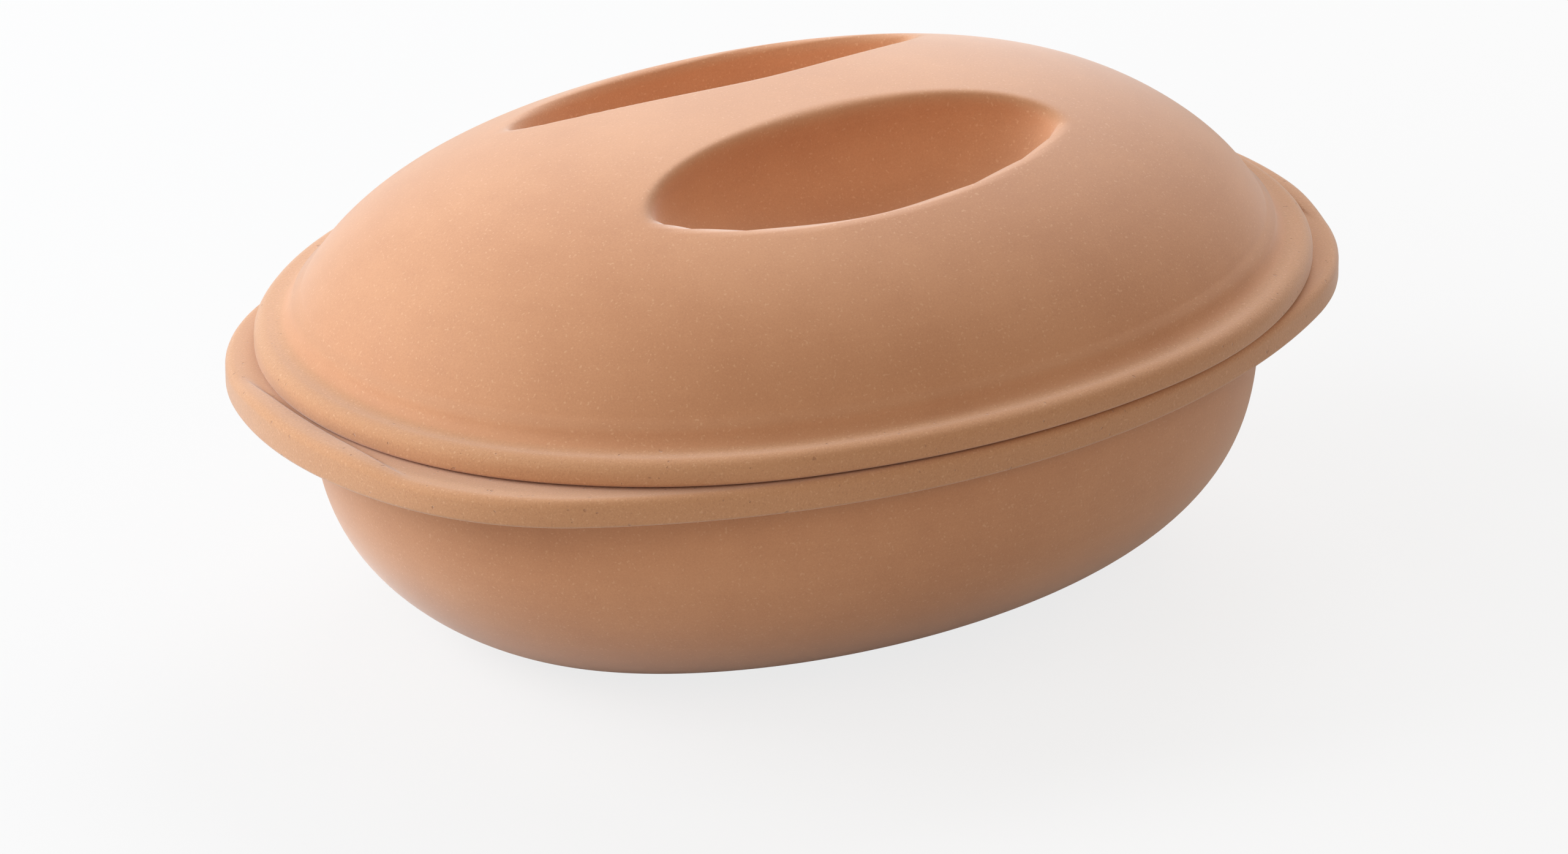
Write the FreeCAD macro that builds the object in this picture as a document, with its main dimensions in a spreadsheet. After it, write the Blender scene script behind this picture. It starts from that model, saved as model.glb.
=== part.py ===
import FreeCAD, Part
import math
import os

# Clay roaster in two pieces of unglazed terracotta: an oval pot base, and an oval domed lid that rests on it.
# Millimetres, +X along the length, +Z up, with the origin at the middle of the flat foot.

doc = FreeCAD.newDocument("clay_roaster")

# Driving sizes: alias, value, what the value sets
SIZES = [
    ("total_length", 335.0, "over the two end grips of the base"),
    ("total_width", 240.0, "over the rim of the base"),
    ("seat_height", 83.7, "foot to the flat seat that the lid rests on"),
    ("lid_height", 61.3, "seat to the crown of the handle bar"),
    ("lid_turn", -3.2, "degrees that the lid lies turned on the base"),
    ("clay_wall", 8.0, "thickness of the clay in both pieces"),
    ("clay_floor", 9.0, "thickness of the clay over the foot"),
    ("foot_length", 190.0, "flat foot"),
    ("foot_width", 116.0, "flat foot"),
    ("bowl_fullness", 2.02, "oval exponent of the bowl, where 2 is an ellipse"),
    ("bowl_rise_power", 3.85, "how steeply the bowl wall turns up"),
    ("overhang_end", 24.3, "end grip outside the bowl"),
    ("overhang_side", 4.6, "base rim outside the bowl at the sides"),
    ("base_end_blunt", 2.0, "plan radius of the base rim ends, more than its half width"),
    ("base_band", 8.2, "height of the rim band under the seat"),
    ("grip_width", 8.4, "top of an end grip, from its inner edge out"),
    ("grip_rise", 1.8, "height of the end grips above the seat"),
    ("grip_curve", 257.0, "plan radius of the inner edge of an end grip"),
    ("grip_gap", 0.7, "end of the lid rim to the end grip"),
    ("side_setback", 0.6, "lid rim inside the base rim at the sides"),
    ("lid_end_pointed", 16.4, "plan radius of the lid rim ends, less than its half width"),
    ("lid_band", 8.0, "height of the lid rim band"),
    ("ledge_end", 11.6, "lid rim outside the dome at the ends"),
    ("ledge_side", 10.5, "lid rim outside the dome at the sides"),
    ("collar_drop", 3.0, "depth of the lid collar in the mouth of the base"),
    ("collar_wall", 5.0, "thickness of the lid collar"),
    ("collar_gap", 1.0, "play left between the lid collar and the mouth when the lid lies turned"),
    ("dome_fullness", 2.12, "oval exponent of the dome"),
    ("end_profile_out", 2.88, "lengthwise curve of the dome, exponent outwards"),
    ("end_profile_up", 1.54, "lengthwise curve of the dome, exponent upwards"),
    ("side_profile_out", 2.14, "crosswise curve of the dome, exponent outwards"),
    ("side_profile_up", 1.57, "crosswise curve of the dome, exponent upwards"),
    ("near_bar_edge", 13.5, "middle of the lid to the near finger recess"),
    ("far_bar_edge", 20.0, "middle of the lid to the far finger recess"),
    ("recess_length", 132.0, "finger recess"),
    ("near_recess_width", 48.5, "near finger recess"),
    ("far_recess_width", 42.0, "far finger recess"),
    ("recess_drop", 7.5, "crown of the bar to the widest level of a recess"),
    ("recess_depth", 24.0, "widest level of a recess to its floor"),
    ("recess_round", 4.0, "rounding of the recess edge"),
    ("base_rim_round", 2.5, "rounding of the base rim on top"),
    ("lid_rim_round", 4.0, "rounding of the lid rim on top"),
    ("lower_round", 1.2, "rounding of both rim bands underneath"),
    ("dome_foot_round", 5.5, "hollow where the dome meets the lid rim"),
    ("rim_foot_round", 2.0, "hollow where the bowl meets the base rim"),
    ("mouth_round", 2.0, "rounding of the mouth edge of the base"),
]
sheet = doc.addObject("Spreadsheet::Sheet", "Sizes")
for row, (alias, value, meaning) in enumerate(SIZES, start=1):
    sheet.set("A%d" % row, alias)
    sheet.set("B%d" % row, str(value))
    sheet.set("C%d" % row, meaning)
    sheet.setAlias("B%d" % row, alias)
doc.recompute()


def size(alias):
    return float(sheet.get(alias))


# Half lengths and half widths of the ovals, each set in or out from the one before it by a size of its own
rim_x, rim_y = size("total_length") / 2, size("total_width") / 2
bowl_x, bowl_y = rim_x - size("overhang_end"), rim_y - size("overhang_side")
mouth_x, mouth_y = bowl_x - size("clay_wall"), bowl_y - size("clay_wall")
seat_x = rim_x - size("grip_width")
lid_x, lid_y = seat_x - size("grip_gap"), rim_y - size("side_setback")
dome_x, dome_y = lid_x - size("ledge_end"), lid_y - size("ledge_side")
# The collar is an oval in an oval mouth, so a lid that lies turned needs more room
turn_room = abs(math.sin(math.radians(size("lid_turn"))) * (mouth_x - mouth_y))
collar_x, collar_y = (half - size("collar_gap") - turn_room for half in (mouth_x, mouth_y))
hollow_x, hollow_y = collar_x - size("collar_wall"), collar_y - size("collar_wall")


# Ovals and the solids made from them
OVAL_POINTS = 32


def oval(name, half_length, half_width, fullness, height):
    """A smooth closed oval lying flat at a height."""
    points = []
    for step in range(OVAL_POINTS):
        angle = 2 * math.pi * step / OVAL_POINTS
        along, across = math.cos(angle), math.sin(angle)
        points.append(FreeCAD.Vector(
            math.copysign(half_length * abs(along) ** (2 / fullness), along),
            math.copysign(half_width * abs(across) ** (2 / fullness), across),
            height,
        ))
    curve = Part.BSplineCurve()
    marks = [step / OVAL_POINTS for step in range(OVAL_POINTS + 1)]
    curve.interpolate(Points=points, Parameters=marks, PeriodicFlag=True)
    wire = doc.addObject("Part::Feature", name)
    wire.Shape = Part.Wire(curve.toShape())
    return wire


def arc_oval(name, half_length, half_width, end_radius, turns, height):
    """A flat oval of tangent arcs: two ends, four corners and two sides. The turns are the directions, in
    degrees from the length, in which an end arc and a corner arc stop."""
    end_turn, corner_turn = (math.radians(turn) for turn in turns)
    end_x = half_length - end_radius + end_radius * math.cos(end_turn)
    end_y = end_radius * math.sin(end_turn)
    narrowing = math.cos(end_turn) - math.cos(corner_turn)
    widening = math.sin(corner_turn) - math.sin(end_turn)
    corner_radius = (
        (end_x * (1 - math.sin(corner_turn)) - (half_width - end_y) * math.cos(corner_turn))
        / (narrowing * (1 - math.sin(corner_turn)) - widening * math.cos(corner_turn))
    )

    def corner_point(turn):
        return (
            end_x + corner_radius * (math.cos(turn) - math.cos(end_turn)),
            end_y + corner_radius * (math.sin(turn) - math.sin(end_turn)),
        )

    corner = [corner_point(turn) for turn in (end_turn, (end_turn + corner_turn) / 2, corner_turn)]
    upper = [(half_length, 0.0)] + corner + [(0.0, half_width)]
    upper += [(-x, y) for x, y in upper[-2::-1]]
    ring = upper + [(x, -y) for x, y in upper[-2:0:-1]]
    ring = [FreeCAD.Vector(x, y, height) for x, y in ring[-1:] + ring[:-1]]
    wire = doc.addObject("Part::Feature", name)
    wire.Shape = Part.Wire([
        Part.Arc(ring[start], ring[start + 1], ring[(start + 2) % len(ring)]).toShape()
        for start in range(0, len(ring), 2)
    ])
    return wire


def loft(name, sections):
    solid = doc.addObject("Part::Loft", name)
    solid.Sections = sections
    solid.Solid = True
    return solid


def raised(name, outline, height):
    """A flat outline raised straight up by a height from the sheet."""
    solid = doc.addObject("Part::Extrusion", name)
    solid.Base = outline
    solid.DirMode = "Custom"
    solid.Dir = FreeCAD.Vector(0, 0, 1)
    solid.Solid = True
    solid.setExpression("LengthFwd", height)
    return solid


def fused(name, shapes):
    solid = doc.addObject("Part::MultiFuse", name)
    solid.Shapes = shapes
    return solid


def cut(name, base, tool):
    solid = doc.addObject("Part::Cut", name)
    solid.Base, solid.Tool = base, tool
    return solid


def rounded(name, base, roundings):
    """Rounds the level edges of a solid. Each rounding is a height and a radius, and the half length of the
    edge where other edges lie at that height too."""
    doc.recompute()
    edges = []
    for number, edge in enumerate(base.Shape.Edges, start=1):
        box = edge.BoundBox
        for height, radius, half_length in roundings:
            level = box.ZLength < EDGE_SLACK and abs(box.Center.z - height) < EDGE_SLACK
            if level and (half_length is None or abs(box.XLength / 2 - half_length) < EDGE_SLACK):
                edges.append((number, radius, radius))
    solid = doc.addObject("Part::Fillet", name)
    solid.Base = base
    solid.Edges = edges
    return solid


EDGE_SLACK = 0.2

# Bowl of the base: ovals that widen from the flat foot to the seat, where the wall stands upright
BOWL_LEVELS = (0.0, 0.02, 0.06, 0.13, 0.25, 0.42, 0.68, 1.0)


def bowl(name, inset, floor):
    foot_x, foot_y = size("foot_length") / 2 - inset, size("foot_width") / 2 - inset
    top_x, top_y = bowl_x - inset, bowl_y - inset
    sections = []
    for number, level in enumerate(BOWL_LEVELS):
        swell = 1 - (1 - level) ** size("bowl_rise_power")
        sections.append(oval(
            "%s_oval_%d" % (name, number),
            foot_x + (top_x - foot_x) * swell,
            foot_y + (top_y - foot_y) * swell,
            size("bowl_fullness"),
            floor + (size("seat_height") - floor) * level,
        ))
    return loft(name, sections)


bowl_outside = bowl("bowl_outside", 0.0, 0.0)
bowl_inside = bowl("bowl_inside", size("clay_wall"), size("clay_floor"))

# Rim of the base, which the two end grips overtop: outside the arcs that bound the seat the rim is higher
BASE_RIM_TURNS = (20.0, 58.0)
band_bottom = size("seat_height") - size("base_band")
base_rim_outline = arc_oval(
    "base_rim_outline", rim_x, rim_y, rim_y + size("base_end_blunt"), BASE_RIM_TURNS, band_bottom)
low_rim = rounded("low_rim", raised("low_rim_square", base_rim_outline, "Sizes.base_band"), [
    (size("seat_height"), size("base_rim_round"), None),
    (band_bottom, size("lower_round"), None),
])
high_rim_square = raised("high_rim_square", base_rim_outline, "Sizes.base_band + Sizes.grip_rise")
high_rim = rounded("high_rim", high_rim_square, [
    (size("seat_height") + size("grip_rise"), size("base_rim_round"), None),
    (band_bottom, size("lower_round"), None),
])
arc_half = math.asin((rim_y + size("base_band")) / size("grip_curve"))


def grip_edge(end):
    """The arc that bounds the seat at one end, +1 right or -1 left, running anticlockwise."""
    return Part.Arc(*(
        FreeCAD.Vector(
            end * (seat_x - size("grip_curve") * (1 - math.cos(turn))),
            end * size("grip_curve") * math.sin(turn),
            band_bottom,
        ) for turn in (-arc_half, 0.0, arc_half)
    ))


right_edge, left_edge = grip_edge(1), grip_edge(-1)
seat_outline = doc.addObject("Part::Feature", "seat_outline")
seat_outline.Shape = Part.Wire([
    right_edge.toShape(),
    Part.makeLine(right_edge.EndPoint, left_edge.StartPoint),
    left_edge.toShape(),
    Part.makeLine(left_edge.EndPoint, right_edge.StartPoint),
])
seat_space = raised("seat_space", seat_outline, "(Sizes.base_band + Sizes.grip_rise) * 2")
end_grips = cut("end_grips", high_rim, seat_space)

base_blank = fused("base_blank", [bowl_outside, low_rim, end_grips])
base_open = cut("base_open", base_blank, bowl_inside)
pot_base = rounded("pot_base", base_open, [
    (size("seat_height"), size("mouth_round"), mouth_x),
    (band_bottom, size("rim_foot_round"), bowl_x),
])

# Lid, modelled from the underside of its rim up. The dome is a loft of ovals that closes in the crown
DOME_LEVELS = (0.0, 0.12, 0.27, 0.45, 0.63, 0.78, 0.89, 0.96, 0.993)


def dome(name, half_length, half_width, fullness, crown_height):
    sections = []
    for number, level in enumerate(DOME_LEVELS):
        sections.append(oval(
            "%s_oval_%d" % (name, number),
            half_length * (1 - level ** size("end_profile_up")) ** (1 / size("end_profile_out")),
            half_width * (1 - level ** size("side_profile_up")) ** (1 / size("side_profile_out")),
            fullness,
            size("lid_band") + (crown_height - size("lid_band")) * level,
        ))
    crown = doc.addObject("Part::Vertex", name + "_crown")
    crown.Z = crown_height
    return loft(name, sections + [crown])


LID_RIM_TURNS = (43.0, 75.0)
lid_rim_outline = arc_oval(
    "lid_rim_outline", lid_x, lid_y, lid_y - size("lid_end_pointed"), LID_RIM_TURNS, 0.0)
lid_rim = rounded("lid_rim", raised("lid_rim_square", lid_rim_outline, "Sizes.lid_band"), [
    (size("lid_band"), size("lid_rim_round"), None),
    (0.0, size("lower_round"), None),
])
dome_outside = dome("dome_outside", dome_x, dome_y, size("dome_fullness"), size("lid_height"))
collar_outline = oval("collar_outline", collar_x, collar_y, size("bowl_fullness"), -size("collar_drop"))
collar = raised("collar", collar_outline, "Sizes.collar_drop")
lid_blank = rounded("lid_blank", fused("lid_square", [lid_rim, dome_outside, collar]), [
    (size("lid_band"), size("dome_foot_round"), dome_x),
])


# Finger recesses, one on each side of the handle bar: the lower half of an ellipsoid with an oval shaft above it
def recess(side, direction, kind, extra):
    name = "%s_%s" % (side, kind)
    half_width = "Sizes.%s_recess_width / 2" % side
    middle = "%d * (Sizes.%s_bar_edge + %s)" % (direction, side, half_width)
    widest = "Sizes.lid_height - Sizes.recess_drop"
    scoop = doc.addObject("Part::Ellipsoid", name + "_scoop")
    scoop.setExpression("Radius1", "Sizes.recess_depth" + extra)
    scoop.setExpression("Radius2", "Sizes.recess_length / 2" + extra)
    scoop.setExpression("Radius3", half_width + extra)
    outline = doc.addObject("Part::Ellipse", name + "_outline")
    outline.setExpression("MajorRadius", "Sizes.recess_length / 2" + extra)
    outline.setExpression("MinorRadius", half_width + extra)
    for shape in (scoop, outline):
        shape.setExpression("Placement.Base.y", middle)
        shape.setExpression("Placement.Base.z", widest)
    return [scoop, raised(name + "_shaft", outline, "Sizes.recess_drop * 2")]


def both_recesses(name, kind, extra):
    return fused(name, recess("near", -1, kind, extra) + recess("far", 1, kind, extra))


recess_space = both_recesses("recess_space", "recess", "")
lid_pressed = cut("lid_pressed", lid_blank, recess_space)
doc.recompute()

# Where a recess opens in the dome, its edge is the long curve that rises and falls with the crown
LEAST_EDGE_LENGTH = size("recess_length") * 0.9
recess_edges = []
for number, edge in enumerate(lid_pressed.Shape.Edges, start=1):
    box = edge.BoundBox
    if box.ZMin > size("lid_band") and box.ZLength > EDGE_SLACK and box.XLength > LEAST_EDGE_LENGTH:
        recess_edges.append((number, size("recess_round"), size("recess_round")))
lid_outside = doc.addObject("Part::Fillet", "lid_outside")
lid_outside.Base = lid_pressed
lid_outside.Edges = recess_edges

# Inside of the lid: open below through the collar, with a wall left around each recess
hollow_outline = oval("hollow_outline", hollow_x, hollow_y, size("bowl_fullness"), -size("collar_drop"))
hollow_throat = raised("hollow_throat", hollow_outline, "Sizes.collar_drop + Sizes.lid_band")
hollow_dome = dome(
    "hollow_dome", hollow_x, hollow_y, size("bowl_fullness"), size("lid_height") - size("clay_wall"))
recess_walls = both_recesses("recess_walls", "recess_wall", " + Sizes.clay_wall")
lid_inside = cut("lid_inside", fused("hollow", [hollow_throat, hollow_dome]), recess_walls)
lid = cut("lid", lid_outside, lid_inside)
lid.setExpression("Placement.Base.z", "Sizes.seat_height")
lid.setExpression("Placement.Rotation.Angle", "Sizes.lid_turn")

# Check and write
doc.recompute()
for item in doc.Objects:
    if "Invalid" in item.State or "Error" in item.State:
        raise RuntimeError("%s could not be built: %s" % (item.Name, item.State))
os.makedirs("parts", exist_ok=True)
for piece in (pot_base, lid):
    piece.Label = piece.Name
    if piece.Shape.isNull() or not piece.Shape.isValid() or len(piece.Shape.Solids) != 1:
        raise RuntimeError("%s is not one valid solid" % piece.Label)
for piece in (pot_base, lid):
    piece.Shape.exportStep(os.path.join("parts", piece.Label + ".step"))
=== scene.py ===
import math

import bmesh
import bpy
import numpy as np
from mathutils import Matrix, Vector


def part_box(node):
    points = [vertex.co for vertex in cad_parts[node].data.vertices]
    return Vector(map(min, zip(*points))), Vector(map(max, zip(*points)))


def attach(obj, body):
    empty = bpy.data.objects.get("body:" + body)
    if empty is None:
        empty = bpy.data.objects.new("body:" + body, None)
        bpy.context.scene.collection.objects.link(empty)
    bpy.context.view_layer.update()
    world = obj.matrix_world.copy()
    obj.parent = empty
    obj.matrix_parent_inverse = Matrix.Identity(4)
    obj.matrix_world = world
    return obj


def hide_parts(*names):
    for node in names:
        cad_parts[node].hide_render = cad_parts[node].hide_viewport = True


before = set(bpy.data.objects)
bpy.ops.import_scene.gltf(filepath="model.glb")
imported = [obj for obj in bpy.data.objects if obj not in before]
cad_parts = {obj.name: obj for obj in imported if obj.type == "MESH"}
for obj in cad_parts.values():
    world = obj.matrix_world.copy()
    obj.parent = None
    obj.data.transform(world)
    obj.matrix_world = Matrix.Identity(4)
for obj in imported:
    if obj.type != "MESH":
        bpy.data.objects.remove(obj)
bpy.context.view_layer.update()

scene = bpy.context.scene

# Camera
# The photograph's view of the roaster, from a little to the left of its long side and from above. The long
# lens stands well back, and the frame is 2560 x 1394.
MM = 0.001
VIEW_AZIMUTH, VIEW_ELEVATION = math.radians(-34.853), math.radians(23.887)
VIEW_ROLL = math.radians(-0.334)
VIEW_DISTANCE = 3000 * MM
VIEW_AIM = (0.0, 0.0, 70 * MM)
AIM_RIGHT, AIM_UP = -1.193 * MM, -24.460 * MM
FOCAL_PIXELS, FRAME_WIDTH, SENSOR_WIDTH = 17228, 2560, 36.0

back = Vector((
    math.sin(VIEW_AZIMUTH) * math.cos(VIEW_ELEVATION),
    -math.cos(VIEW_AZIMUTH) * math.cos(VIEW_ELEVATION),
    math.sin(VIEW_ELEVATION),
))
level_right = Vector((math.cos(VIEW_AZIMUTH), math.sin(VIEW_AZIMUTH), 0.0))
level_up = back.cross(level_right)
right = level_right * math.cos(VIEW_ROLL) + level_up * math.sin(VIEW_ROLL)
up = level_up * math.cos(VIEW_ROLL) - level_right * math.sin(VIEW_ROLL)
camera_place = Vector(VIEW_AIM) + right * AIM_RIGHT + up * AIM_UP + back * VIEW_DISTANCE

camera_data = bpy.data.cameras.new("camera")
camera_data.sensor_width = SENSOR_WIDTH
camera_data.lens = FOCAL_PIXELS / FRAME_WIDTH * SENSOR_WIDTH
camera_data.clip_start, camera_data.clip_end = 0.1, 50.0
camera = bpy.data.objects.new("camera", camera_data)
camera.matrix_world = Matrix.Translation(camera_place) @ Matrix((right, up, back)).transposed().to_4x4()
scene.collection.objects.link(camera)
scene.camera = camera
scene.view_settings.view_transform = "Standard"

# Studio
# A pale floor that runs out of sight, an even white surround and large soft lamps. To the camera the floor
# and the surround are white, and the floor keeps the roaster's soft shadow.
FLOOR_SIZE, FLOOR_ROUGHNESS = 12.0, 0.9
FLOOR_TONE = (0.64, 0.635, 0.63, 1.0)
FLOOR_WHITENESS, SURROUND_LIGHT = 0.80, 0.04
DAYLIGHT, LAMPLIGHT = (0.90, 0.95, 1.0), (1.0, 0.86, 0.72)
LAMP_DISTANCE, LAMP_SIZE = 1.6, 1.0
LAMP_TARGET = Vector((0.0, 0.0, 80 * MM))
LAMPS = (
    # name, azimuth, elevation, power, colour
    ("back_left", -130, 30, 22.0, DAYLIGHT),
    ("back_right", 130, 40, 14.5, DAYLIGHT),
    ("back", 180, 45, 5.0, DAYLIGHT),
    ("left", -88, 34, 7.0, DAYLIGHT),
    ("right", 90, 35, 5.2, LAMPLIGHT),
    ("front_right", 45, 28, 3.2, LAMPLIGHT),
    ("front_left", -60, 28, 3.4, LAMPLIGHT),
    ("front", -20, 30, 2.4, LAMPLIGHT),
)

world = bpy.data.worlds.new("surround")
scene.world = world
world.use_nodes = True
world_nodes, world_links = world.node_tree.nodes, world.node_tree.links
surround = world_nodes["Background"]
surround.inputs["Color"].default_value = (1.0, 1.0, 1.0, 1.0)
seen = world_nodes.new("ShaderNodeLightPath")
strength = world_nodes.new("ShaderNodeMix")
strength.inputs["A"].default_value = SURROUND_LIGHT
strength.inputs["B"].default_value = 1.0
world_links.new(seen.outputs["Is Camera Ray"], strength.inputs["Factor"])
world_links.new(strength.outputs["Result"], surround.inputs["Strength"])

floor_mesh = bpy.data.meshes.new("floor")
floor_bm = bmesh.new()
bmesh.ops.create_grid(floor_bm, x_segments=1, y_segments=1, size=FLOOR_SIZE / 2)
floor_bm.to_mesh(floor_mesh)
floor_bm.free()
floor = bpy.data.objects.new("floor", floor_mesh)
scene.collection.objects.link(floor)
floor_paint = bpy.data.materials.new("floor")
floor_paint.use_nodes = True
floor_nodes, floor_links = floor_paint.node_tree.nodes, floor_paint.node_tree.links
floor_surface = floor_nodes["Principled BSDF"]
floor_surface.inputs["Base Color"].default_value = FLOOR_TONE
floor_surface.inputs["Roughness"].default_value = FLOOR_ROUGHNESS
floor_surface.inputs["Specular IOR Level"].default_value = 0.0
white = floor_nodes.new("ShaderNodeEmission")
floor_seen = floor_nodes.new("ShaderNodeLightPath")
whiteness = floor_nodes.new("ShaderNodeMath")
whiteness.operation = "MULTIPLY"
whiteness.inputs[1].default_value = FLOOR_WHITENESS
floor_mix = floor_nodes.new("ShaderNodeMixShader")
floor_links.new(floor_seen.outputs["Is Camera Ray"], whiteness.inputs[0])
floor_links.new(whiteness.outputs["Value"], floor_mix.inputs["Fac"])
floor_links.new(floor_surface.outputs["BSDF"], floor_mix.inputs[1])
floor_links.new(white.outputs["Emission"], floor_mix.inputs[2])
floor_links.new(floor_mix.outputs["Shader"], floor_nodes["Material Output"].inputs["Surface"])
floor_mesh.materials.append(floor_paint)

for name, azimuth, elevation, power, colour in LAMPS:
    turn, rise = math.radians(azimuth), math.radians(elevation)
    way = Vector((math.sin(turn) * math.cos(rise), -math.cos(turn) * math.cos(rise), math.sin(rise)))
    lamp_data = bpy.data.lights.new(name, "AREA")
    lamp_data.shape = "DISK"
    lamp_data.size = LAMP_SIZE
    lamp_data.energy = power
    lamp_data.color = colour
    lamp = bpy.data.objects.new(name, lamp_data)
    lamp.location = LAMP_TARGET + way * LAMP_DISTANCE
    lamp.rotation_euler = way.to_track_quat("Z", "Y").to_euler()
    scene.collection.objects.link(lamp)

# Pot base
# The deep oval pot, one piece of unglazed terracotta: a bowl on a flat foot, with a rim band whose top is
# the seat of the lid. At both ends the rim runs out into a broad grip, a little higher than the seat.
STEPS = 400
base_low, base_high = (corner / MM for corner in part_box("pot_base"))
RIM_X, RIM_Y = base_high.x, base_high.y
GRIP_WIDTH, GRIP_CURVE = 8.4, 257.0
GRIP_RISE, GRIP_FADE, GRIP_EDGE = 1.8, 4.0, 1.3
GRIP_EDGE_STEPS = (
    # share of the edge's width, share of the rise
    (-1.0, 0.0),
    (0.0, 0.06),
    (0.2, 0.45),
    (0.5, 0.85),
    (1.0, 1.0),
)
SEAT = base_high.z - GRIP_RISE
BAND = 8.2
BAND_BOTTOM = SEAT - BAND
RIM_END_RADIUS, RIM_TURNS = RIM_Y + 2.0, (20.0, 58.0)
BASE_RIM_ROUND, LOWER_ROUND, RIM_FOOT_ROUND, MOUTH_ROUND = 2.5, 1.2, 2.0, 2.0
CLAY_WALL, CLAY_FLOOR = 8.0, 9.0
BOWL_X, BOWL_Y = RIM_X - 24.3, RIM_Y - 4.6
FOOT_X, FOOT_Y = 95.0, 58.0
BOWL_FULLNESS, BOWL_RISE = 2.02, 3.85
INSIDE_RINGS, INSIDE_SPACING = 18, 1.7
OUTSIDE_RINGS, OUTSIDE_SPACING = 44, 1.5


def oval_reach(turn, half_length, half_width, fullness):
    """Distance from the middle to an oval in each direction. A fullness of 2 is an ellipse."""
    along = np.abs(np.cos(turn) / half_length) ** fullness
    across = np.abs(np.sin(turn) / half_width) ** fullness
    return (along + across) ** (-1 / fullness)


def arc_reach(turn, half_length, half_width, end_radius, turns):
    """Distance from the middle to an oval of tangent arcs: two ends, four corners and two sides."""
    end_turn, corner_turn = np.radians(turns)
    end_x, end_y = half_length - end_radius * (1 - np.cos(end_turn)), end_radius * np.sin(end_turn)
    flatness = 1 - np.sin(corner_turn)
    narrowing = np.cos(end_turn) - np.cos(corner_turn)
    widening = np.sin(corner_turn) - np.sin(end_turn)
    corner_radius = (
        (end_x * flatness - (half_width - end_y) * np.cos(corner_turn))
        / (narrowing * flatness - widening * np.cos(corner_turn))
    )
    side_radius = (end_x - corner_radius * narrowing) / np.cos(corner_turn)
    corner_centre = (
        end_x - corner_radius * np.cos(end_turn),
        end_y - corner_radius * np.sin(end_turn),
    )
    corner_end = (
        corner_centre[0] + corner_radius * np.cos(corner_turn),
        corner_centre[1] + corner_radius * np.sin(corner_turn),
    )
    c, s = np.abs(np.cos(turn)), np.abs(np.sin(turn))

    def ray(centre, radius):
        middle = c * centre[0] + s * centre[1]
        return middle + np.sqrt(radius ** 2 - centre[0] ** 2 - centre[1] ** 2 + middle ** 2)

    quarter = np.arctan2(s, c)
    end = ray((half_length - end_radius, 0.0), end_radius)
    corner = ray(corner_centre, corner_radius)
    side = ray((0.0, half_width - side_radius), side_radius)
    reach = np.where(quarter < math.atan2(corner_end[1], corner_end[0]), corner, side)
    return np.where(quarter < math.atan2(end_y, end_x), end, reach)


def turned_shell(name, rings):
    """A closed mesh through a row of rings, first to last. Each ring gives, for an array of directions,
    its distance from the middle and its height. The two open ends are closed with a fan."""
    bm = bmesh.new()
    chain = [bm.verts.new((1.0, 0.0, float(number))) for number in range(len(rings))]
    edges = [bm.edges.new(pair) for pair in zip(chain, chain[1:])]
    bmesh.ops.spin(
        bm, geom=chain + edges, cent=(0, 0, 0), axis=(0, 0, 1),
        angle=2 * math.pi, steps=STEPS, use_merge=True)
    ends = bmesh.ops.holes_fill(bm, edges=bm.edges[:], sides=0)["faces"]
    bmesh.ops.poke(bm, faces=ends)
    mesh = bpy.data.meshes.new(name)
    bm.to_mesh(mesh)
    places = np.empty(len(bm.verts) * 3)
    mesh.vertices.foreach_get("co", places)
    places = places.reshape(-1, 3)
    number, turn = np.rint(places[:, 2]).astype(int), np.arctan2(places[:, 1], places[:, 0])
    off_middle = np.hypot(places[:, 0], places[:, 1]) > 0.5
    for ring_number, ring in enumerate(rings):
        pick = number == ring_number
        reach, height = ring(turn[pick])
        reach = reach * off_middle[pick]
        places[pick, 0] = reach * np.cos(turn[pick])
        places[pick, 1] = reach * np.sin(turn[pick])
        places[pick, 2] = height
    bm.free()
    return mesh, places, number


def finished_piece(name, mesh, places):
    """Puts the shaped vertices, in millimetres, back in the mesh and turns its faces outwards."""
    mesh.vertices.foreach_set("co", (places * MM).ravel())
    bm = bmesh.new()
    bm.from_mesh(mesh)
    bmesh.ops.remove_doubles(bm, verts=bm.verts[:], dist=1e-7)
    bmesh.ops.recalc_face_normals(bm, faces=bm.faces[:])
    for face in bm.faces:
        face.smooth = True
    bm.to_mesh(mesh)
    bm.free()
    piece = bpy.data.objects.new(name, mesh)
    scene.collection.objects.link(piece)
    return piece


def bowl_ring(height, inset, floor):
    """A ring of the bowl's outside, or of its inside, which is inset by the wall and starts at the floor."""
    level = (height - floor) / (SEAT - floor)
    swell = 1 - (1 - level) ** BOWL_RISE
    x = FOOT_X - inset + (BOWL_X - FOOT_X) * swell
    y = FOOT_Y - inset + (BOWL_Y - FOOT_Y) * swell
    return lambda turn: (oval_reach(turn, x, y, BOWL_FULLNESS), height)


def rim_reach(turn):
    return arc_reach(turn, RIM_X, RIM_Y, RIM_END_RADIUS, RIM_TURNS)


def grip_reach(turn):
    """The inner edge of a grip, an arc about a centre on the far side of the middle."""
    offset = GRIP_CURVE - (RIM_X - GRIP_WIDTH)
    c, s = np.abs(np.cos(turn)), np.sin(turn)
    edge = np.sqrt(GRIP_CURVE ** 2 - (offset * s) ** 2) - offset * c
    return np.minimum(edge, rim_reach(turn) - BASE_RIM_ROUND - GRIP_EDGE)


def grip_height(turn):
    """How far a grip stands above the seat. It fades out where the grip narrows."""
    room = rim_reach(turn) - BASE_RIM_ROUND - GRIP_EDGE - grip_reach(turn)
    share = np.clip(room / GRIP_FADE, 0.0, 1.0)
    return GRIP_RISE * share * share * (3 - 2 * share)


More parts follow.
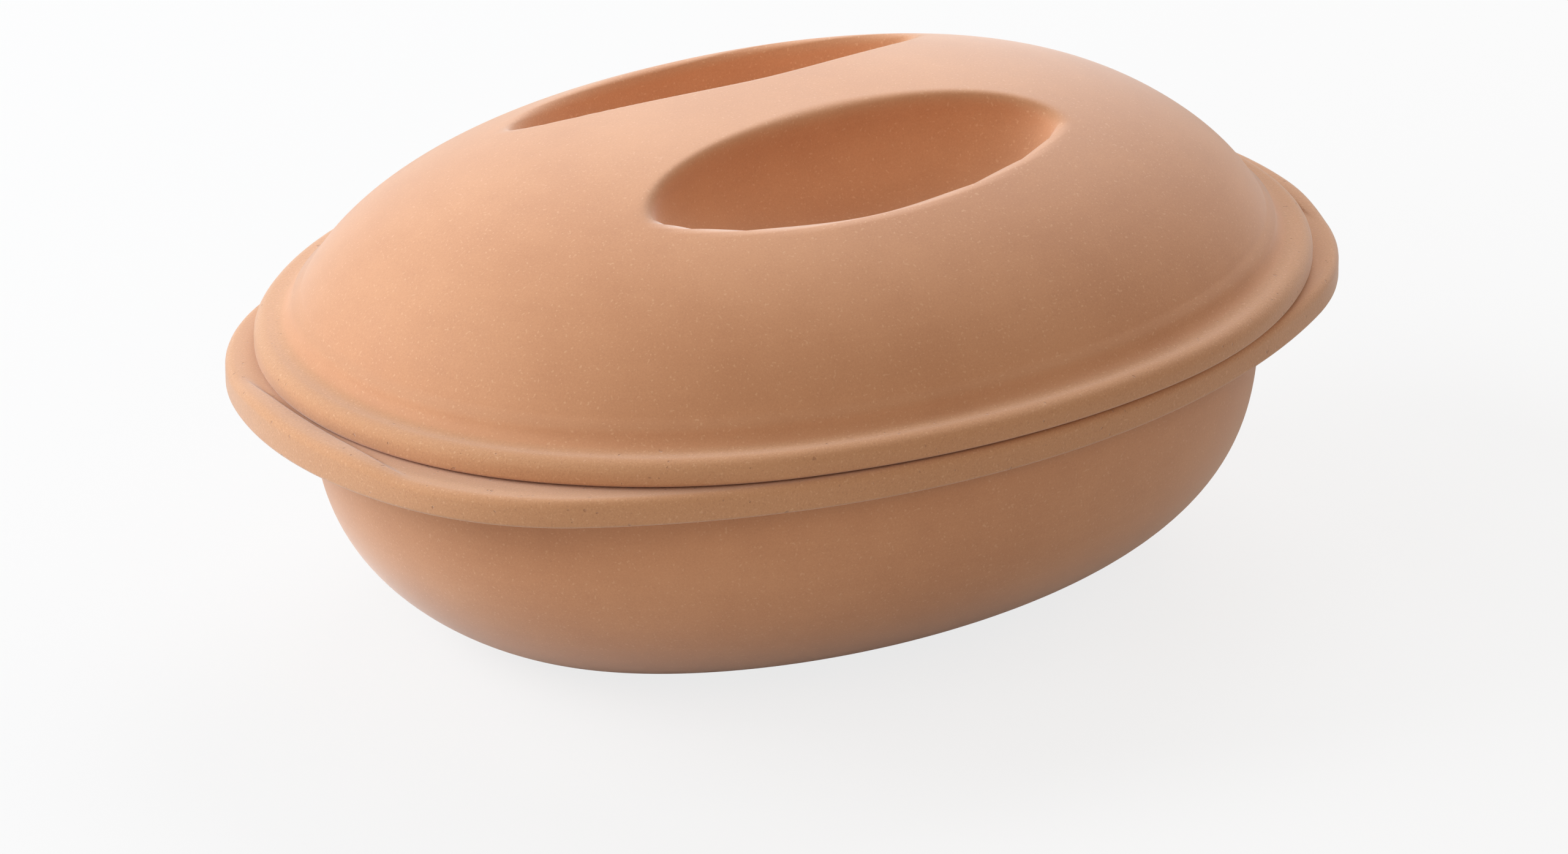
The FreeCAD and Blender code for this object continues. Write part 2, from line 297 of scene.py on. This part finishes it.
def quarter(count, start, stop):
    """Angles for the rings of a rounded edge, in degrees from start to stop."""
    return [math.radians(angle) for angle in np.linspace(start, stop, count)]


base_rings = []
for share in np.linspace(0.0, 1.0, INSIDE_RINGS):
    height = CLAY_FLOOR + (SEAT - MOUTH_ROUND - CLAY_FLOOR) * share ** INSIDE_SPACING
    base_rings.append(bowl_ring(height, CLAY_WALL, CLAY_FLOOR))
for angle in quarter(4, 180, 90):
    base_rings.append(lambda turn, angle=angle: (
        oval_reach(turn, BOWL_X - CLAY_WALL, BOWL_Y - CLAY_WALL, BOWL_FULLNESS)
        + MOUTH_ROUND * (1 + math.cos(angle)),
        SEAT - MOUTH_ROUND * (1 - math.sin(angle))))
for out, up in GRIP_EDGE_STEPS:
    base_rings.append(lambda turn, out=out, up=up: (
        grip_reach(turn) + out * GRIP_EDGE,
        SEAT + up * grip_height(turn)))
for angle in quarter(7, 90, 0):
    base_rings.append(lambda turn, angle=angle: (
        rim_reach(turn) - BASE_RIM_ROUND * (1 - math.cos(angle)),
        SEAT + grip_height(turn) - BASE_RIM_ROUND * (1 - math.sin(angle))))
for angle in quarter(5, 0, -90):
    base_rings.append(lambda turn, angle=angle: (
        rim_reach(turn) - LOWER_ROUND * (1 - math.cos(angle)),
        BAND_BOTTOM + LOWER_ROUND * (1 + math.sin(angle))))
under_band = bowl_ring(BAND_BOTTOM - RIM_FOOT_ROUND, 0.0, 0.0)
for angle in quarter(5, 90, 180):
    base_rings.append(lambda turn, angle=angle: (
        under_band(turn)[0] + RIM_FOOT_ROUND * (1 + math.cos(angle)),
        BAND_BOTTOM - RIM_FOOT_ROUND * (1 - math.sin(angle))))
for share in np.linspace(1.0, 0.0, OUTSIDE_RINGS)[1:]:
    base_rings.append(bowl_ring((BAND_BOTTOM - RIM_FOOT_ROUND) * share ** OUTSIDE_SPACING, 0.0, 0.0))

base_mesh, base_places, base_numbers = turned_shell("pot_base_clay", base_rings)
pot_base = finished_piece("pot_base_clay", base_mesh, base_places)
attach(pot_base, "root")
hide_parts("pot_base")

# Lid
# The domed lid, one piece of unglazed terracotta that rests loose on the seat: a rim band, the dome, and
# two finger recesses pressed into it with the handle bar left between them. A collar underneath keeps it in
# place.
LID_TURN = math.radians(-3.2)
GRIP_GAP, SIDE_INSET = 0.7, 0.6
LID_X, LID_Y = RIM_X - GRIP_WIDTH - GRIP_GAP, RIM_Y - SIDE_INSET
LID_END_RADIUS, LID_TURNS = LID_Y - 16.4, (43.0, 75.0)
LID_HEIGHT, LID_BAND, LID_RIM_ROUND = 61.3, 8.0, 4.0
DOME_X, DOME_Y, DOME_FULLNESS, DOME_FOOT_ROUND = LID_X - 11.6, LID_Y - 10.5, 2.12, 5.5
END_OUT, END_UP, SIDE_OUT, SIDE_UP = 2.88, 1.54, 2.14, 1.57
UNDERCUT, UNDERCUT_WIDTH = 0.6, 4.0
COLLAR_DROP, COLLAR_GAP, COLLAR_WALL = 3.0, 2.55, 5.0
COLLAR_X, COLLAR_Y = BOWL_X - CLAY_WALL - COLLAR_GAP, BOWL_Y - CLAY_WALL - COLLAR_GAP
HOLLOW_X, HOLLOW_Y = COLLAR_X - COLLAR_WALL, COLLAR_Y - COLLAR_WALL
RECESS_X, RECESS_DROP, RECESS_DEPTH = 66.0, 7.5, 24.0
RECESS_LEVEL = LID_HEIGHT - RECESS_DROP
RECESSES = (
    # side, half width, edge of the bar from the middle of the lid
    (-1, 24.25, 13.5),
    (1, 21.0, 20.0),
)
EDGE_ON_BAR, EDGE_ON_LIP, EDGE_LENGTH = 4.5, 2.4, 1.7
LIP_POWER, RECESS_LEAN = 1.36, 0.16
HALVINGS = 40
SHOULDER_X, CROWN_X = 92.0, 0.8
COARSE_RINGS, FINE_RINGS, HOLLOW_RINGS = 44, 112, 24


def lid_reach(turn):
    return arc_reach(turn, LID_X, LID_Y, LID_END_RADIUS, LID_TURNS)


def dome_axes(level, x, y):
    """Half length and half width of the dome at a level between its foot, 0, and its crown, 1."""
    return (
        x * (1 - level ** END_UP) ** (1 / END_OUT),
        y * (1 - level ** SIDE_UP) ** (1 / SIDE_OUT),
    )


def dome_ring(level, x, y, fullness, crown):
    """A ring of the dome's outside, or of its hollow, which has a smaller foot and a lower crown."""
    half_length, half_width = dome_axes(level, x, y)
    height = LID_BAND + (crown - LID_BAND) * level
    return lambda turn: (oval_reach(turn, half_length, half_width, fullness), height)


def recess_reach(ux, uy, half_width, power):
    """Distance from the middle of a recess to its outline, found by halving. A power of 2 is an ellipse."""
    low, high = np.zeros_like(ux), np.full_like(ux, RECESS_X)
    for _ in range(HALVINGS):
        reach = (low + high) / 2
        inside = (ux * reach / RECESS_X) ** 2 + np.abs(uy * reach / half_width) ** power < 1
        low, high = np.where(inside, reach, low), np.where(inside, high, reach)
    return low


def dome_height(x, y):
    """Height of the outside of the dome over each place, found by halving."""
    low, high = np.zeros_like(x), np.ones_like(x)
    for _ in range(HALVINGS):
        level = (low + high) / 2
        half_length, half_width = dome_axes(level, DOME_X, DOME_Y)
        inside = np.abs(x / half_length) ** DOME_FULLNESS + np.abs(y / half_width) ** DOME_FULLNESS < 1
        low, high = np.where(inside, level, low), np.where(inside, high, level)
    return LID_BAND + (LID_HEIGHT - LID_BAND) * low


def pressed(places, side, half_width, bar_edge):
    """Presses one finger recess into the dome. Round its middle, the places are drawn out over the scoop,
    up its wall and over the soft edge, in the order of their distance from it. The lip is more pointed than
    an ellipse, and the recess leans to the right end towards the bar."""
    middle = side * (bar_edge + half_width)
    lean = -side * RECESS_LEAN
    y = places[:, 1] - middle
    x = places[:, 0] - lean * y
    distance = np.maximum(np.hypot(x, y), 1e-6)
    ux, uy = x / distance, y / distance

    def dome_over(reach):
        return dome_height((ux + lean * uy) * reach, uy * reach + middle)

    wall = recess_reach(ux, uy, half_width, np.where(side * uy > 0, LIP_POWER, 2.0))
    edge = (EDGE_ON_BAR + EDGE_ON_LIP) / 2 - side * uy * (EDGE_ON_BAR - EDGE_ON_LIP) / 2
    below = np.clip((RECESS_LEVEL - dome_over(wall)) / RECESS_DEPTH, 0.0, 1.0)
    corner = wall * np.sqrt(1 - below ** 2)
    corner_z = dome_over(corner)
    outer = corner + edge
    outer_z = dome_over(outer)
    inner_z = corner_z - edge
    sunk = np.clip((RECESS_LEVEL - inner_z) / RECESS_DEPTH, 0.0, 1.0)
    inner = wall * np.sqrt(1 - sunk ** 2)
    upright = np.maximum(inner_z - RECESS_LEVEL, 0.0)
    scoop_turn = np.arccos(sunk)
    scoop_length = scoop_turn * np.sqrt((wall ** 2 + RECESS_DEPTH ** 2) / 2)
    round_length = EDGE_LENGTH * edge
    share = distance / outer
    run = share * (scoop_length + upright + round_length)
    on_scoop = np.clip(run / scoop_length, 0.0, 1.0) * scoop_turn
    on_wall = np.clip(run - scoop_length, 0.0, upright)
    on_edge = np.clip((run - scoop_length - upright) / round_length, 0.0, 1.0)
    reach = wall * np.sin(on_scoop)
    height = RECESS_LEVEL - RECESS_DEPTH * np.cos(on_scoop) + on_wall
    a, b, c = (1 - on_edge) ** 2, 2 * on_edge * (1 - on_edge), on_edge ** 2
    reach = np.where(on_edge > 0, a * inner + b * corner + c * outer, reach)
    height = np.where(on_edge > 0, a * inner_z + b * corner_z + c * outer_z, height)
    result = places.copy()
    inside = share < 1
    result[inside, 0] = ((ux + lean * uy) * reach)[inside]
    result[inside, 1] = (uy * reach)[inside] + middle
    result[inside, 2] = height[inside]
    return result


lid_rings = []
for angle in quarter(HOLLOW_RINGS, 3, 90):
    crown = LID_HEIGHT - CLAY_WALL
    lid_rings.append(dome_ring(math.cos(angle), HOLLOW_X, HOLLOW_Y, BOWL_FULLNESS, crown))
inner_count = len(lid_rings)
lid_rings.append(lambda turn: (oval_reach(turn, HOLLOW_X, HOLLOW_Y, BOWL_FULLNESS), -COLLAR_DROP))
lid_rings.append(lambda turn: (oval_reach(turn, COLLAR_X, COLLAR_Y, BOWL_FULLNESS), -COLLAR_DROP))
lid_rings.append(lambda turn: (oval_reach(turn, COLLAR_X, COLLAR_Y, BOWL_FULLNESS), 0.0))
lid_rings.append(lambda turn: (lid_reach(turn) - UNDERCUT_WIDTH, 0.0))
for angle in quarter(5, -90, 0):
    lid_rings.append(lambda turn, angle=angle: (
        lid_reach(turn) - LOWER_ROUND * (1 - math.cos(angle)),
        UNDERCUT + LOWER_ROUND * (1 + math.sin(angle))))
for angle in quarter(9, 0, 90):
    lid_rings.append(lambda turn, angle=angle: (
        lid_reach(turn) - LID_RIM_ROUND * (1 - math.cos(angle)),
        LID_BAND - LID_RIM_ROUND * (1 - math.sin(angle))))
for angle in quarter(6, -90, -180):
    lid_rings.append(lambda turn, angle=angle: (
        oval_reach(turn, DOME_X, DOME_Y, DOME_FULLNESS) + DOME_FOOT_ROUND * (1 + math.cos(angle)),
        LID_BAND + DOME_FOOT_ROUND * (1 + math.sin(angle))))
outer_start = len(lid_rings)
foot_angle = math.acos(DOME_FOOT_ROUND / (LID_HEIGHT - LID_BAND))
shoulder_angle = math.asin((SHOULDER_X / DOME_X) ** (END_OUT / END_UP))
for angle in np.linspace(foot_angle, shoulder_angle, COARSE_RINGS)[1:]:
    lid_rings.append(dome_ring(math.cos(angle), DOME_X, DOME_Y, DOME_FULLNESS, LID_HEIGHT))
for x in np.linspace(SHOULDER_X, CROWN_X, FINE_RINGS)[1:]:
    angle = math.asin((x / DOME_X) ** (END_OUT / END_UP))
    lid_rings.append(dome_ring(math.cos(angle), DOME_X, DOME_Y, DOME_FULLNESS, LID_HEIGHT))

lid_mesh, lid_places, lid_numbers = turned_shell("lid_clay", lid_rings)
outside, inside = lid_numbers >= outer_start, lid_numbers < inner_count
for side, half_width, bar_edge in RECESSES:
    lid_places[outside] = pressed(lid_places[outside], side, half_width, bar_edge)
    x, y = lid_places[inside, 0], lid_places[inside, 1] - side * (bar_edge + half_width)
    spread = (x / (RECESS_X + CLAY_WALL)) ** 2 + (y / (half_width + CLAY_WALL)) ** 2
    boss = RECESS_LEVEL - (RECESS_DEPTH + CLAY_WALL) * np.sqrt(np.maximum(1 - spread, 0.0))
    hollow = lid_places[inside, 2]
    lid_places[inside, 2] = np.where(spread < 1, np.minimum(hollow, boss), hollow)
c, s = math.cos(LID_TURN), math.sin(LID_TURN)
lid_places = lid_places @ np.array([[c, s, 0.0], [-s, c, 0.0], [0.0, 0.0, 1.0]]) + (0.0, 0.0, SEAT)
lid = finished_piece("lid_clay", lid_mesh, lid_places)
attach(lid, "root")
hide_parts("lid")

# Clay
# Both pieces are one low-fired terracotta, left unglazed: matt, fine-grained and a little cloudy, wiped
# smooth with a damp sponge. The rims were trimmed when leather-hard, so they are drier and yellower, with
# small open pits.
CLAY_DEEP, CLAY_PALE = (0.585, 0.260, 0.117, 1.0), (0.665, 0.318, 0.153, 1.0)
GRIT_DARK, GRIT_PALE = (0.40, 0.165, 0.075, 1.0), (0.78, 0.46, 0.27, 1.0)
RIM_DRY, RIM_EDGE = (0.58, 0.295, 0.135, 1.0), 1.2 * MM
CLAY_ROUGHNESS, CLAY_GLOSS = 0.66, 0.5
CLAY_SHEEN, SHEEN_ROUGHNESS = 0.5, 0.5
CLOUD_SCALE, MOTTLE_SCALE, SPONGE_SCALE = 14.0, 90.0, 26.0
GRAIN_SCALE, GRIT_SCALE, PIT_SCALE = 1900.0, 1300.0, 520.0
SPONGE_STRETCH = (0.4, 0.4, 12.0)


class Wire:
    """A socket of a material. Arithmetic on wires adds Math nodes, and node() adds any other node."""

    def __init__(self, tree, socket=None):
        self.tree, self.socket = tree, socket

    def node(self, kind, settings, sockets, output=0):
        made = self.tree.nodes.new("ShaderNode" + kind)
        for name, value in settings.items():
            setattr(made, name, value)
        for name, value in sockets.items():
            if isinstance(value, Wire):
                self.tree.links.new(value.socket, made.inputs[name])
            else:
                made.inputs[name].default_value = value
        return Wire(self.tree, made.outputs[output])

    def maths(self, operation, *values):
        return self.node("Math", {"operation": operation}, dict(enumerate(values)))

    def __add__(self, other):
        return self.maths("ADD", self, other)

    def __radd__(self, other):
        return self.maths("ADD", other, self)

    def __sub__(self, other):
        return self.maths("SUBTRACT", self, other)

    def __rsub__(self, other):
        return self.maths("SUBTRACT", other, self)

    def __mul__(self, other):
        return self.maths("MULTIPLY", self, other)

    def __rmul__(self, other):
        return self.maths("MULTIPLY", other, self)

    def ramp(self, low, high):
        """Rises smoothly from 0 at low to 1 at high."""
        return self.node(
            "MapRange", {"interpolation_type": "SMOOTHSTEP"}, {"Value": self, 1: low, 2: high})

    def mixed(self, share, colour):
        """This colour with a share of another."""
        return self.node("Mix", {"data_type": "RGBA"}, {0: share, 6: self, 7: colour}, output=2)


def clay_finish(name, rim_low, rim_high):
    """Terracotta whose rim band lies between two heights, in metres."""
    clay = bpy.data.materials.new(name)
    clay.use_nodes = True
    tree = clay.node_tree
    start = Wire(tree)
    place = start.node("TexCoord", {}, {}, output=3)
    height = start.node("SeparateXYZ", {}, {0: place}, output=2)

    def noise(scale, detail, roughness=0.5, stretch=(1.0, 1.0, 1.0)):
        spread = start.node("Mapping", {}, {"Vector": place, "Scale": stretch})
        return start.node("TexNoise", {}, {
            "Vector": spread, "Scale": scale, "Detail": detail, "Roughness": roughness})

    rim = height.ramp(rim_low - RIM_EDGE, rim_low) * (1 - height.ramp(rim_high, rim_high + RIM_EDGE))
    clouds = noise(CLOUD_SCALE, 2.0)
    mottle = noise(MOTTLE_SCALE, 3.0, 0.6)
    sponge_lines = noise(SPONGE_SCALE, 3.0, 0.6, SPONGE_STRETCH)
    grain = noise(GRAIN_SCALE, 2.0, 0.75)
    grit = noise(GRIT_SCALE, 0.0)
    pits = noise(PIT_SCALE, 1.0)

    tone = clouds * 0.5 + mottle * 0.2 + sponge_lines * 0.1 + grain * 0.2
    colour = start.node("Mix", {"data_type": "RGBA"}, {
        0: tone.ramp(0.34, 0.66), 6: CLAY_DEEP, 7: CLAY_PALE}, output=2)
    colour = colour.mixed(rim * 0.55, RIM_DRY)
    colour = colour.mixed(grain.ramp(0.52, 0.80) * (0.16 + 0.24 * rim), GRIT_PALE)
    colour = colour.mixed(grain.ramp(0.48, 0.20) * (0.16 + 0.34 * rim), GRIT_DARK)
    colour = colour.mixed(grit.ramp(0.70, 0.80) * 0.4, GRIT_PALE)
    pitted = pits.ramp(0.27, 0.22) * (0.1 + 0.9 * rim)
    colour = colour.mixed(pitted * 0.5, GRIT_DARK)

    relief = grain * 0.035 + mottle * 0.03 + sponge_lines * 0.02 + grain * rim * 0.06 - pitted * 0.15
    bump = start.node("Bump", {}, {"Strength": 1.0, "Distance": MM, "Height": relief})

    shader = tree.nodes["Principled BSDF"]
    tree.links.new(colour.socket, shader.inputs["Base Color"])
    tree.links.new((CLAY_ROUGHNESS + mottle * 0.12 + rim * 0.06).socket, shader.inputs["Roughness"])
    tree.links.new(bump.socket, shader.inputs["Normal"])
    shader.inputs["Specular IOR Level"].default_value = CLAY_GLOSS
    shader.inputs["Sheen Weight"].default_value = CLAY_SHEEN
    shader.inputs["Sheen Roughness"].default_value = SHEEN_ROUGHNESS
    return clay


pot_base.data.materials.append(clay_finish("base_clay", BAND_BOTTOM * MM, (SEAT + GRIP_RISE) * MM))
lid.data.materials.append(clay_finish("lid_clay", SEAT * MM, (SEAT + LID_BAND) * MM))
